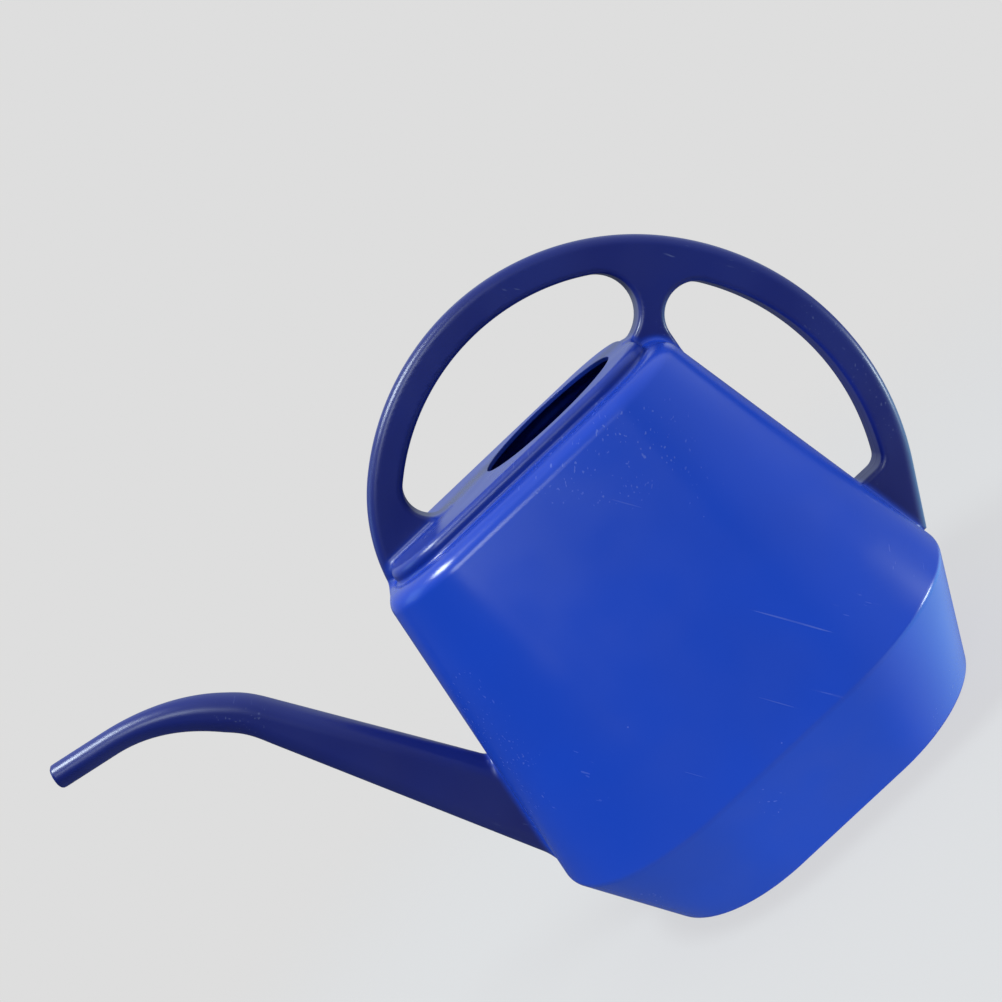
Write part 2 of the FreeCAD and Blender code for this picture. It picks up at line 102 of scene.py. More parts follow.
# hoop handle: a plate with rounded edges, whose outline is arcs about centres (x, z)
HOOP_HALF = box_side("carry_grip", 1, "y")
HOOP_EDGE = 4.2
LOOP_EDGE = 2.2
EDGE_BLEND = 6.0
HOOP_REAR = (13.4, 127.6)
HOOP_TOP = (22.4, 135.4)
HOOP_FRONT = (2.5, 159.0)
HOOP_RADIUS = 119.3
TAIL_LEAN = math.radians(29.6)
TAIL_FLOOR = 44.1
TAIL_INSIDE = (80.0, 44.1)
CARRY_RADIUS = 93.2
CARRY_REAR = 15.8
CARRY_FRONT = 11.6
CARRY_FLOOR = 185.0
POUR = (19.7, 125.8)
POUR_RADIUS = 100.2
POUR_TOP = 13.0
POUR_TOP_HEIGHT = 173.9
POUR_LOW = 6.5
POUR_FLOOR = 77.4
POUR_LEAN = math.radians(8.0)
FOOT_FILLET = 2.4

# spout: a flared root, a bend about a centre, and a straight round tip
ROOT_HEIGHT = 71.5
ROOT_REACH = 25.5
ROOT_HALF = 8.0
ROOT_EDGE = 7.4
ROOT_BURIED = 3.0
NECK_REACH = 8.5
NECK_HALF = 7.3
BEND = (-212.5, 134.3)
BEND_RADIUS = 77.9
BEND_START = math.radians(57.9)
BEND_END = math.radians(10.9)
BEND_EASE = (math.radians(12), math.radians(6))
TIP_RADIUS = 5.3
TIP_LENGTH = 25.4
TIP_ROUND = 1.3
TIP_TRIM = 0.25
SPOUT_FILLET = 4.5

# the mould's parting line, a fine ridge along the middle plane
RIDGE_HEIGHT = 0.05
RIDGE_WIDTH = 0.85
RIDGE_FADE = 4.0

# ---------------------------------------------------------------------------
# Distance fields: negative inside. x, y and z are arrays that broadcast.


def smooth_step(share):
    share = np.clip(share, 0, 1)
    return share * share * (3 - 2 * share)


def rounded_union(a, b, radius):
    """Both shapes, with a hollow fillet where they meet."""
    fillet = np.hypot(np.maximum(radius - a, 0), np.maximum(radius - b, 0))
    return np.maximum(radius, np.minimum(a, b)) - fillet


def rounded_meet(a, b, radius):
    """What the shapes share, with a round along the edge where they meet."""
    bulge = np.hypot(np.maximum(radius + a, 0), np.maximum(radius + b, 0))
    return np.minimum(-radius, np.maximum(a, b)) + bulge


def rounded_rectangle(x, y, length, width, corner):
    across_x = np.abs(x) - length + corner
    across_y = np.abs(y) - width + corner
    corner_way = np.hypot(np.maximum(across_x, 0), np.maximum(across_y, 0))
    return corner_way + np.minimum(np.maximum(across_x, across_y), 0) - corner


def rounded_plate(side, y, half, radius):
    """A plate from its outline's field in the middle plane, with rounded edges."""
    over_side = side + radius
    over_face = np.abs(y) - (half - radius)
    edge_way = np.hypot(np.maximum(over_side, 0), np.maximum(over_face, 0))
    return edge_way + np.minimum(np.maximum(over_side, over_face), 0) - radius


def circle(x, z, centre, radius):
    return np.hypot(x - centre[0], z - centre[1]) - radius


def angle_about(x, z, centre):
    return np.arctan2(z - centre[1], x - centre[0])


def polar(centre, radius, angle):
    return (centre[0] + radius * math.cos(angle), centre[1] + radius * math.sin(angle))


def right_of_line(x, z, start, end):
    """Distance from a line, positive on the right-hand side of the way from start to end."""
    way_x, way_z = end[0] - start[0], end[1] - start[1]
    return ((x - start[0]) * way_z - (z - start[1]) * way_x) / math.hypot(way_x, way_z)


def tapered_walls(x, y, z, low, high):
    """Four walls with round corners that run straight from one level to another."""
    share = (z - low[0]) / (high[0] - low[0])
    length, width, corner = (low[i] + (high[i] - low[i]) * share for i in (1, 2, 3))
    slope = (high[1] - low[1]) / (high[0] - low[0])
    return rounded_rectangle(x, y, length, width, corner) / math.hypot(1, slope)


def tank_field(x, y, z):
    band = tapered_walls(x, y, z, HEEL, CREASE)
    walls = tapered_walls(x, y, z, CREASE, BROW)
    sides = rounded_meet(band, walls, CREASE_ROUND)
    body = rounded_meet(sides, z - LEDGE_HEIGHT, SHOULDER_ROUND)
    collar = rounded_meet(rounded_rectangle(x, y, *COLLAR), z - DECK_TOP, COLLAR_ROUND)
    body = rounded_union(body, collar, COVE_ROUND)
    body = rounded_meet(body, -z, FOOT_ROUND)
    recess = np.maximum(rounded_rectangle(x, y, *RECESS), z - RECESS_DEPTH)
    return rounded_meet(body, -recess, RECESS_ROUND)


TOP_RADIUS = HOOP_RADIUS - math.dist(HOOP_REAR, HOOP_TOP)
FRONT_RADIUS = TOP_RADIUS - math.dist(HOOP_TOP, HOOP_FRONT)
REAR_JOINT = math.atan2(HOOP_TOP[1] - HOOP_REAR[1], HOOP_TOP[0] - HOOP_REAR[0])
FRONT_JOINT = math.atan2(HOOP_FRONT[1] - HOOP_TOP[1], HOOP_FRONT[0] - HOOP_TOP[0])
CARRY_REAR_ANGLE = math.asin((CARRY_FLOOR + CARRY_REAR - HOOP_TOP[1]) / (CARRY_RADIUS - CARRY_REAR))
CARRY_FRONT_ANGLE = math.pi - math.asin(
    (CARRY_FLOOR + CARRY_FRONT - HOOP_TOP[1]) / (CARRY_RADIUS - CARRY_FRONT)
)
CARRY_REAR_CENTRE = polar(HOOP_TOP, CARRY_RADIUS - CARRY_REAR, CARRY_REAR_ANGLE)
CARRY_FRONT_CENTRE = polar(HOOP_TOP, CARRY_RADIUS - CARRY_FRONT, CARRY_FRONT_ANGLE)
POUR_TOP_ANGLE = math.asin((POUR_TOP_HEIGHT - POUR[1]) / (POUR_RADIUS - POUR_TOP))
POUR_LOW_ANGLE = math.asin((POUR_FLOOR + POUR_LOW - POUR[1]) / (POUR_RADIUS - POUR_LOW))
POUR_TOP_CENTRE = polar(POUR, POUR_RADIUS - POUR_TOP, POUR_TOP_ANGLE)
POUR_LOW_CENTRE = polar(POUR, POUR_RADIUS - POUR_LOW, POUR_LOW_ANGLE)


def hoop_outline(x, z):
    """The hoop's outer edge: three arcs that flow into each other, and a straight tail."""
    side = circle(x, z, HOOP_REAR, HOOP_RADIUS)
    over_top = angle_about(x, z, HOOP_TOP)
    on_top = (over_top > REAR_JOINT) & (over_top <= FRONT_JOINT)
    side = np.where(on_top, circle(x, z, HOOP_TOP, TOP_RADIUS), side)
    over_front = angle_about(x, z, HOOP_FRONT)
    in_front = (over_front > FRONT_JOINT) | (over_front < -math.pi / 2)
    side = np.where(in_front, circle(x, z, HOOP_FRONT, FRONT_RADIUS), side)
    tail_start = polar(HOOP_REAR, HOOP_RADIUS, -TAIL_LEAN)
    tail_end = (tail_start[0] - math.sin(TAIL_LEAN), tail_start[1] - math.cos(TAIL_LEAN))
    below = (angle_about(x, z, HOOP_REAR) < -TAIL_LEAN) & (z < HOOP_REAR[1]) & ~in_front
    side = np.where(below, right_of_line(x, z, tail_end, tail_start), side)
    front_end = (HOOP_FRONT[0] - FRONT_RADIUS, HOOP_FRONT[1])
    side = np.maximum(side, right_of_line(x, z, front_end, TAIL_INSIDE))
    return np.maximum(side, TAIL_FLOOR - z)


def carry_opening(x, z):
    """The opening over the deck, deepened into the tank so that no plate is left under the deck."""
    space = np.maximum(circle(x, z, HOOP_TOP, CARRY_RADIUS), CARRY_FLOOR - z)
    over_top = angle_about(x, z, HOOP_TOP)
    at_rear = (x > CARRY_REAR_CENTRE[0]) & (over_top < CARRY_REAR_ANGLE)
    at_front = (x < CARRY_FRONT_CENTRE[0]) & ((over_top > CARRY_FRONT_ANGLE) | (over_top < 0))
    space = np.where(at_rear, circle(x, z, CARRY_REAR_CENTRE, CARRY_REAR), space)
    space = np.where(at_front, circle(x, z, CARRY_FRONT_CENTRE, CARRY_FRONT), space)
    middle = (CARRY_REAR_CENTRE[0] + CARRY_FRONT_CENTRE[0]) / 2
    reach = (CARRY_REAR_CENTRE[0] - CARRY_FRONT_CENTRE[0]) / 2
    well = np.maximum(np.abs(x - middle) - reach, z - CARRY_FRONT_CENTRE[1])
    return np.minimum(space, well)


def pour_opening(x, z):
    """The opening behind the tank, closed at the front by a line that ends inside the tank."""
    space = np.maximum(circle(x, z, POUR, POUR_RADIUS), POUR_FLOOR - z)
    line_top = polar(POUR_TOP_CENTRE, POUR_TOP, math.pi - POUR_LEAN)
    line_low = (line_top[0] - math.sin(POUR_LEAN), line_top[1] - math.cos(POUR_LEAN))
    space = np.maximum(space, right_of_line(x, z, line_top, line_low))
    at_top = angle_about(x, z, POUR_TOP_CENTRE)
    in_top = (at_top > POUR_TOP_ANGLE) & (at_top < math.pi - POUR_LEAN)
    at_low = angle_about(x, z, POUR_LOW_CENTRE)
    in_low = (at_low > -math.pi / 2) & (at_low < POUR_LOW_ANGLE)
    space = np.where(in_top, circle(x, z, POUR_TOP_CENTRE, POUR_TOP), space)
    return np.where(in_low, circle(x, z, POUR_LOW_CENTRE, POUR_LOW), space)


def handle_field(x, y, z):
    rim = hoop_outline(x, z)
    bore = -np.minimum(carry_opening(x, z), pour_opening(x, z))
    at_rim = smooth_step(0.5 + (rim - bore) / EDGE_BLEND)
    radius = LOOP_EDGE + (HOOP_EDGE - LOOP_EDGE) * at_rim
    return rounded_plate(np.maximum(rim, bore), y, HOOP_HALF, radius)


def on_bend(angle, out=0.0):
    """A point at this angle round the bend, out from the spout's middle line."""
    reach = BEND_RADIUS + out
    return (BEND[0] + reach * math.sin(angle), BEND[1] + reach * math.cos(angle))


WALL_SLOPE = (CREASE[1] - BROW[1]) / (BROW[0] - CREASE[0])


def on_front_wall(height, out=0.0):
    """A point of the tank's front wall on the middle plane, or out from it."""
    across = math.hypot(1, WALL_SLOPE)
    x = WALL_SLOPE * (height - CREASE[0]) - CREASE[1]
    return (x - out / across, height - out * -WALL_SLOPE / across)


NECK_TOP = on_bend(BEND_START, NECK_REACH)
NECK_LOW = on_bend(BEND_START, -NECK_REACH)
ROOT_RISE = ROOT_REACH / math.hypot(1, WALL_SLOPE)
ROOT_TOP = on_front_wall(ROOT_HEIGHT + ROOT_RISE)
ROOT_LOW = on_front_wall(ROOT_HEIGHT - ROOT_RISE)
TIP_START = on_bend(BEND_END)
TIP_WAY = (-math.cos(BEND_END), math.sin(BEND_END))
ROOT_LENGTH = math.dist(on_front_wall(ROOT_HEIGHT), on_bend(BEND_START))


def spout_field(x, y, z, rounded_end):
    """The root between its two straight edges, eased into the bend and the round tip."""
    angle = np.arctan2(x - BEND[0], z - BEND[1])
    round_bend = np.clip((BEND_START - angle) / (BEND_START - BEND_END), 0, 1)
    ease = 0.5 + 0.5 * np.cos(np.pi * round_bend)
    along_tip = (x - TIP_START[0]) * TIP_WAY[0] + (z - TIP_START[1]) * TIP_WAY[1]
    across_tip = (z - TIP_START[1]) * -TIP_WAY[0] + (x - TIP_START[0]) * TIP_WAY[1]
    across = np.where(angle < BEND_END, across_tip, np.hypot(x - BEND[0], z - BEND[1]) - BEND_RADIUS)
    tube = np.abs(across) - (TIP_RADIUS + (NECK_REACH - TIP_RADIUS) * ease)
    root = np.maximum(-right_of_line(x, z, NECK_TOP, ROOT_TOP), right_of_line(x, z, NECK_LOW, ROOT_LOW))
    to_root = smooth_step((angle - BEND_START + BEND_EASE[0]) / sum(BEND_EASE))
    side = tube + (root - tube) * to_root
    into_tank = right_of_line(x, z, on_front_wall(CREASE[0]), on_front_wall(BROW[0]))
    side = np.maximum(side, into_tank - ROOT_BURIED)
    from_neck = (x - on_bend(BEND_START)[0]) * math.cos(BEND_START)
    from_neck = from_neck - (z - on_bend(BEND_START)[1]) * math.sin(BEND_START)
    flare = np.clip(from_neck / ROOT_LENGTH, 0, 1)
    half = TIP_RADIUS + (NECK_HALF - TIP_RADIUS) * ease + (ROOT_HALF - NECK_HALF) * flare
    radius = half - (ROOT_HALF - ROOT_EDGE) * flare
    shape = rounded_plate(side, y, half, radius)
    if rounded_end:
        shape = rounded_meet(shape, along_tip - TIP_LENGTH - TIP_TRIM, TIP_ROUND)
    return shape


def can_field(x, y, z, rounded_end=True):
    """The whole moulding's outside."""
    body = rounded_union(tank_field(x, y, z), handle_field(x, y, z), FOOT_FILLET)
    return rounded_union(body, spout_field(x, y, z, rounded_end), SPOUT_FILLET)


def outside_field(x, y, z):
    """The can with the mould's parting ridge, which stops short of the fill opening and the CAD box."""
    from_rim = np.hypot(x - OPENING[0], y) - OPENING[1]
    at_deck = smooth_step((z - DECK_TOP + RIDGE_FADE) / RIDGE_FADE)
    fade = smooth_step((from_rim - RIDGE_FADE) / RIDGE_FADE) * at_deck + 1 - at_deck
    ridged = can_field(x, y, z) - RIDGE_HEIGHT * fade * np.exp(-((y / RIDGE_WIDTH) ** 2))
    beyond_ends = np.maximum(BOX_LOW[0] - x, x - BOX_HIGH[0])
    beyond_levels = np.maximum(BOX_LOW[2] - z, z - BOX_HIGH[2])
    return np.maximum(ridged, np.maximum(beyond_ends, beyond_levels))


def inside_field(x, y, z):
    """The space inside the wall. It runs on past the spout's end, which is cut off later."""
    return can_field(x, y, z, rounded_end=False) + WALL


# ---------------------------------------------------------------------------
# Surface: a net of quads over a grid, drawn onto the field

COARSER = 1.0
SLAB = 24
SLOPE_STEP = 0.02
LEAST_STEEP = 0.3
LONGEST_MOVE = 1.0
TINY = 1e-6

# rounds of moving the net's points
FIRST_ROUNDS = 3
RELAX_ROUNDS = 2
RELAX_SHARE = 0.5
LAST_ROUNDS = 2


def grid_lines(*stretches):
    """Grid lines over joined stretches, each given as its low end, high end and spacing."""
    lines = []
    for low, high, spacing in stretches:
        count = max(1, round((high - low) / (spacing * COARSER)))
        lines.extend(np.linspace(low, high, count + 1)[:-1])
    return np.array(lines + [stretches[-1][1]])


def mirrored(half):
    """Lines on both sides of zero, from those on the positive side."""
    return np.concatenate([-half[:0:-1], half])


def sample(field, xs, ys, zs):
    """The field on the grid. Only half is worked out, because both sides are alike."""
    half = ys[len(ys) // 2:]
    values = np.empty((len(xs), len(half), len(zs)), np.float32)
    for start in range(0, len(xs), SLAB):
        x = xs[start:start + SLAB, None, None]
        values[start:start + SLAB] = field(x, half[None, :, None], zs[None, None, :])
    return np.concatenate([values[:, :0:-1], values], axis=1)


def cell_points(values, cells, lines):
    """For each cell, the middle of the places where the surface crosses its edges."""
    total = np.zeros((len(cells), 3))
    count = np.zeros(len(cells))
    for axis in range(3):
        others = [other for other in range(3) if other != axis]
        for shift in itertools.product((0, 1), repeat=2):
            start = cells.copy()
            start[:, others] += shift
            end = start.copy()
            end[:, axis] += 1
            low, high = values[tuple(start.T)], values[tuple(end.T)]
            crossed = (low < 0) != (high < 0)
            share = np.where(crossed, low / np.where(crossed, low - high, 1), 0)
            point = np.stack([lines[i][start[:, i]] for i in range(3)], 1)
            point[:, axis] += share * (lines[axis][end[:, axis]] - lines[axis][start[:, axis]])
            total += point * crossed[:, None]
            count += crossed
    return total / count[:, None]


def cell_quads(inside, index):
    """One quad round each grid edge that the surface crosses, facing out of the shape."""
    quads = []
    for axis in range(3):
        u, v = (axis + 1) % 3, (axis + 2) % 3
        low = np.moveaxis(inside, axis, 0)[:-1]
        high = np.moveaxis(inside, axis, 0)[1:]
        crossed = np.moveaxis(low != high, 0, axis)
        leaving = np.moveaxis(low, 0, axis)
        edges = np.argwhere(crossed)
        edges = edges[(edges[:, u] > 0) & (edges[:, v] > 0)]
        outward = leaving[tuple(edges.T)]
        step_u, step_v = np.eye(3, dtype=int)[u], np.eye(3, dtype=int)[v]
        ring = [edges - step_u - step_v, edges - step_v, edges, edges - step_u]
        quad = np.stack([index[tuple(cell.T)] for cell in ring], 1)
        quads.append(np.where(outward[:, None], quad, quad[:, ::-1]))
    return np.concatenate(quads)


def slope_of(field, points):
    slope = np.empty_like(points)
    for axis in range(3):
        step = np.eye(3)[axis] * SLOPE_STEP
        slope[:, axis] = field(*(points + step).T) - field(*(points - step).T)
    return slope / (2 * SLOPE_STEP)


def settle(field, points, rounds):
    """Moves points along the field's slope until they lie on its surface."""
    for _ in range(rounds):
        slope = slope_of(field, points)
        steep = np.maximum((slope ** 2).sum(1), LEAST_STEEP)
        move = slope * (field(*points.T) / steep)[:, None]
        points = points - np.clip(move, -LONGEST_MOVE, LONGEST_MOVE)
    return points


def relax(field, points, quads, rounds):
    """Evens the net out along the surface, without moving points towards or away from y = 0."""
    for _ in range(rounds):
        total = np.zeros_like(points)
        count = np.zeros(len(points))
        for a, b in ((0, 1), (1, 2), (2, 3), (3, 0)):
            for start, end in ((a, b), (b, a)):
                np.add.at(total, quads[:, start], points[quads[:, end]])
                np.add.at(count, quads[:, start], 1)
        slope = slope_of(field, points)
        normal = slope / np.maximum(np.linalg.norm(slope, axis=1), TINY)[:, None]
        move = total / count[:, None] - points
        move -= normal * (move * normal).sum(1)[:, None]
        move[:, 1] = 0
        points = settle(field, points + RELAX_SHARE * move, 1)
    return points


def surface_net(field, xs, ys, zs):
    """The field's surface as points and quads, with one point for each grid cell that it passes."""
    lines = (xs, ys, zs)
    values = sample(field, xs, ys, zs)
    inside = values < 0
    corners = sum(
        inside[i:len(xs) - 1 + i, j:len(ys) - 1 + j, k:len(zs) - 1 + k].astype(np.int8)
        for i, j, k in itertools.product((0, 1), repeat=3)
    )
    mixed = (corners > 0) & (corners < 8)
    cells = np.argwhere(mixed)
    index = np.full(mixed.shape, -1, np.int32)
    index[mixed] = np.arange(len(cells))
    points = settle(field, cell_points(values, cells, lines), FIRST_ROUNDS)
    quads = cell_quads(inside, index)
    points = relax(field, points, quads, RELAX_ROUNDS)
    return settle(field, points, LAST_ROUNDS), quads


# ---------------------------------------------------------------------------
# Division: the moulding's walls and members, cut where the CAD nodes meet

CUT_OUT = 4.0
BAND_CUT = 43.4
FOOT_CUT = 188.0
STRUT_CUT = ((62.0, 190.0), (81.0, 174.5))
HOOP_REACH = (16, 16)
TIP_REACH = (12, 12)
TOUCH = 1e-3
FEWEST_FACES = 20


def radial_cut(centre, angle, radius):
    """A cut through the hoop along a radius."""
    return (polar(centre, radius, angle), polar((0, 0), 1, angle + math.pi / 2), HOOP_REACH)


def wall_cut(side, height, reach):
    """A cut parallel to the tank's front (-1) or rear (1) wall, a little way out from it."""
    x, z = on_front_wall(height, CUT_OUT)
    across = math.hypot(1, WALL_SLOPE)
    return ((-side * x, z), (side / across, WALL_SLOPE / across), reach)


STRUT_WAY = np.subtract(STRUT_CUT[1], STRUT_CUT[0]) / math.dist(*STRUT_CUT)
TIP_END = tuple(start + way * TIP_LENGTH for start, way in zip(TIP_START, TIP_WAY))
CUTS = (
    # centre (x, z), normal (x, z), reach along x and z
    ((0, BAND_CUT), (0, 1), (106, 4)),
    ((0, BROW[0]), (0, 1), (84, 4)),
    ((-57, FOOT_CUT), (0, 1), (24, 4)),
    (tuple(np.mean(STRUT_CUT, axis=0)), (-STRUT_WAY[1], STRUT_WAY[0]), (22, 22)),
    wall_cut(1, 62, (14, 28)),
    wall_cut(-1, 75, (16, 44)),
    (on_bend(BEND_START), (math.cos(BEND_START), -math.sin(BEND_START)), (20, 16)),
    (TIP_START, TIP_WAY, TIP_REACH),
    radial_cut(HOOP_TOP, CARRY_FRONT_ANGLE, 100),
    radial_cut(HOOP_TOP, CARRY_REAR_ANGLE, 100),
    radial_cut(POUR, POUR_TOP_ANGLE, 106),
    radial_cut(POUR, POUR_LOW_ANGLE, 106),
)
MOUTH_CUT = (TIP_END, TIP_WAY, TIP_REACH)


def net_mesh(points, faces):
    mesh = bpy.data.meshes.new("skin")
    mesh.from_pydata(points.tolist(), [], faces)
    return mesh


def near(co, cut):
    """Whether a point is within a cut's reach of its centre."""
    (x, z), _, (reach_x, reach_z) = cut
    return abs(co.x - x) < reach_x and abs(co.z - z) < reach_z


def slice_skin(skin, cut, clear=False):
    """Cuts the skin along one plane, only near the place that the cut is for."""
    (x, z), (way_x, way_z), _ = cut
    faces = [face for face in skin.faces if near(face.calc_center_median(), cut)]
    geometry = dict.fromkeys(item for face in faces for item in (face, *face.edges, *face.verts))
    result = bmesh.ops.bisect_plane(
        skin, geom=list(geometry), dist=TOUCH, plane_co=(x, 0, z), plane_no=(way_x, 0, way_z),
        clear_outer=clear,
    )
    for item in result["geom_cut"]:
        if isinstance(item, bmesh.types.BMEdge):
            item.seam = True


def stretches(skin):
    """The skin's faces in groups that the cuts part."""
    left = set(skin.faces)
    groups = []
    for first in skin.faces:
        if first not in left:
            continue
        left.discard(first)
        group, queue = [first], [first]
        while queue:
            face = queue.pop()
            for edge in face.edges:
                if edge.seam:
                    continue
                for other in edge.link_faces:
                    if other in left:
                        left.discard(other)
                        group.append(other)
                        queue.append(other)
        groups.append(group)
    return groups


def node_of(points):
    """The CAD node whose box these points fill best."""
    low, high = points.min(0), points.max(0)

    def misfit(name):
        node_low, node_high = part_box(name)
        return np.abs(low - np.array(node_low) / MM).sum() + np.abs(high - np.array(node_high) / MM).sum()

    return min(frame["nodes"], key=misfit)


def own_net(places, group):
    """A group of faces as points and faces of its own."""
    faces = [[vertex.index for vertex in face.verts] for face in group]
    used = np.unique(np.concatenate([np.array(face) for face in faces]))
    renumber = {old: new for new, old in enumerate(used.tolist())}
    return places[used], [[renumber[i] for i in face] for face in faces]


def cut_skin(field, lines):
    """The field's surface with all the cuts in it."""
    points, quads = surface_net(field, *lines)
    mesh = net_mesh(points, quads.tolist())
    skin = bmesh.new()
    skin.from_mesh(mesh)
    bpy.data.meshes.remove(mesh)
    for cut in CUTS:
        slice_skin(skin, cut)
    slice_skin(skin, MOUTH_CUT, clear=True)
    skin.verts.index_update()
    return skin


def divided(field, lines):
    """The field's surface as points and faces for each node."""
    skin = cut_skin(field, lines)
    places = np.array([vertex.co for vertex in skin.verts])
    parts = {}
    for group in stretches(skin):
        if len(group) < FEWEST_FACES:
            continue
        own_places, faces = own_net(places, group)
        name = node_of(own_places)
        if name in parts:
            raise RuntimeError(f"two stretches of skin want to be {name}")
        parts[name] = (own_places, faces)
    missing = set(frame["nodes"]) - set(parts)
    if missing:
        raise RuntimeError(f"the cuts leave no stretch for {sorted(missing)}")
    skin.free()
    return parts


# ---------------------------------------------------------------------------
# Shells: outside and inside skins joined into closed pieces

RIM_SIDES = 216
RIM_STEPS = 3
RIM_CLEAR = 0.3
RIM_NEAR = 8.0
CAP_REACH = 4

# how near counts as on a level, a rim's ring or a cut, and the length of an edge not worth keeping
LEVEL = 0.05
ON_RING = 1e-3
ON_PLANE = 0.01
SLIVER = 0.02


def rim_profile():
    """Radius, height and normal of each ring round the fill opening, from the top down."""
    radius, bevel = OPENING[1], OPENING_BEVEL
    quarter = [math.pi / 2 * i / RIM_STEPS for i in range(RIM_STEPS + 1)]
    top, bottom = DECK_TOP, DECK_TOP - WALL
    rings = [
        (radius + bevel * (1 - math.cos(a)), top - bevel * (1 - math.sin(a)), -math.cos(a), math.sin(a))
        for a in reversed(quarter)
    ]
    rings += [
        (radius + bevel * (1 - math.cos(a)), bottom + bevel * (1 - math.sin(a)), -math.cos(a), -math.sin(a))
        for a in quarter
    ]
    return rings


def from_opening(co):
    return math.hypot(co[0] - OPENING[0], co[1])


def add_rim(shell):
    """The rounded edge of the deck's hole, from its top side to its under side."""
    rings = []
    for radius, height, _, _ in rim_profile():
        ring = []
        for i in range(RIM_SIDES):
            angle = 2 * math.pi * i / RIM_SIDES
            place = (OPENING[0] + radius * math.cos(angle), radius * math.sin(angle), height)
            ring.append(shell.verts.new(place))
        rings.append(ring)
    for upper, lower in zip(rings, rings[1:]):
        for i in range(RIM_SIDES):
            j = (i + 1) % RIM_SIDES
            shell.faces.new((upper[i], lower[i], lower[j], upper[j]))


def cut_opening(shell):
    """Takes the fill opening out of the deck and lines it with a rounded rim."""
    reach = OPENING[1] + OPENING_BEVEL
    doomed = [
        face for face in shell.faces
        if face.calc_center_median().z > DECK_TOP - 2 * WALL
        and min(from_opening(vertex.co) for vertex in face.verts) < reach + RIM_CLEAR
    ]
    bmesh.ops.delete(shell, geom=doomed, context="FACES")
    add_rim(shell)
    for height in (DECK_TOP, DECK_TOP - WALL):
        edges = [
            edge for edge in shell.edges
            if len(edge.link_faces) == 1
            and all(abs(v.co.z - height) < LEVEL for v in edge.verts)
            and all(from_opening(v.co) < reach + RIM_NEAR for v in edge.verts)
        ]
        bmesh.ops.triangle_fill(shell, edges=edges, use_beauty=True, normal=(0, 0, 1))


def cap_cuts(shell, flat):
    """Closes a shell where it was cut, between its outside and its inside."""
    for (x, z), (way_x, way_z), reach in (*CUTS, MOUTH_CUT):
        cut = ((x, z), (way_x, way_z), (reach[0] + CAP_REACH, reach[1] + CAP_REACH))
        edges = [
            edge for edge in shell.edges
            if len(edge.link_faces) == 1 and all(
                abs((v.co.x - x) * way_x + (v.co.z - z) * way_z) < ON_PLANE and near(v.co, cut)
                for v in edge.verts
            )
        ]
        if not edges:
            continue
        filled = bmesh.ops.triangle_fill(shell, edges=edges, use_beauty=True, normal=(way_x, 0, way_z))
        for item in filled["geom"]:
            if isinstance(item, bmesh.types.BMFace):
                item[flat] = 1


def read_all(items, name, kind, width=1):
    """One property of every item, as an array with a row for each."""
    values = np.empty(len(items) * width, kind)
    items.foreach_get(name, values)
    return values.reshape(-1, width) if width > 1 else values


def point_normals(points):
    """The slope of the outside or the inside field, and on the fill opening's rim that of its round."""
    outside = can_field(*points.T) > -WALL / 2
    normals = slope_of(outside_field, points)
    normals[~outside] = -slope_of(inside_field, points[~outside])
    radius = np.hypot(points[:, 0] - OPENING[0], points[:, 1])
    for ring_radius, height, inward, upward in rim_profile():
        on_ring = (np.abs(radius - ring_radius) < ON_RING) & (np.abs(points[:, 2] - height) < ON_RING)
        normals[on_ring, 0] = inward * (points[on_ring, 0] - OPENING[0]) / ring_radius
        normals[on_ring, 1] = inward * points[on_ring, 1] / ring_radius
        normals[on_ring, 2] = upward
    return normals / np.maximum(np.linalg.norm(normals, axis=1), TINY)[:, None]


def corner_normals(mesh, flat_faces):
    """A normal for each face corner: its point's, or on a flat cap its face's."""
    result = point_normals(read_all(mesh.vertices, "co", float, 3))
    result = result[read_all(mesh.loops, "vertex_index", np.int32)]
    sizes = read_all(mesh.polygons, "loop_total", np.int32)
    of_face = np.repeat(np.arange(len(sizes)), sizes)
    on_cap = flat_faces[of_face]
    result[on_cap] = read_all(mesh.polygons, "normal", float, 3)[of_face[on_cap]]
    return result


# Painted shade: the handle and spout, and part way the deck and collar, are drawn darker than the tank's
# walls, though all are the same plastic.
LIMB_START = 0.4
LIMB_BLEND = 3.5
DECK_SHADE_SHARE = 0.6


def paint_limb_shade(mesh):
    """Painted shade: how far each point stands out from the tank's walls, 0 on them and 1 on the handle and
    the spout, and part way on the deck and collar. The share darkens the colour there and also adds
    roughness.
    """
    points = read_all(mesh.vertices, "co", float, 3)
    on_limb = smooth_step((tank_field(*points.T) - LIMB_START) / LIMB_BLEND)
    # Painted shade on the deck and collar: from just below the ledge upwards they are drawn part way
    # towards the darker limb colour.
    deck_shade = DECK_SHADE_SHARE * smooth_step((points[:, 2] - LEDGE_HEIGHT + LIMB_BLEND) / (2 * LIMB_BLEND))
    share = np.maximum(on_limb, deck_shade)
    mesh.attributes.new("limb_shade", "FLOAT", "POINT").data.foreach_set("value", share.astype(np.float32))


def both_skins(outside, inside):
    """One mesh of an outside and an inside stretch of skin."""
    places, faces = outside
    inner_places, inner_faces = inside
    inner_faces = [[i + len(places) for i in face] for face in inner_faces]
    return net_mesh(np.concatenate([places, inner_places]), faces + inner_faces)


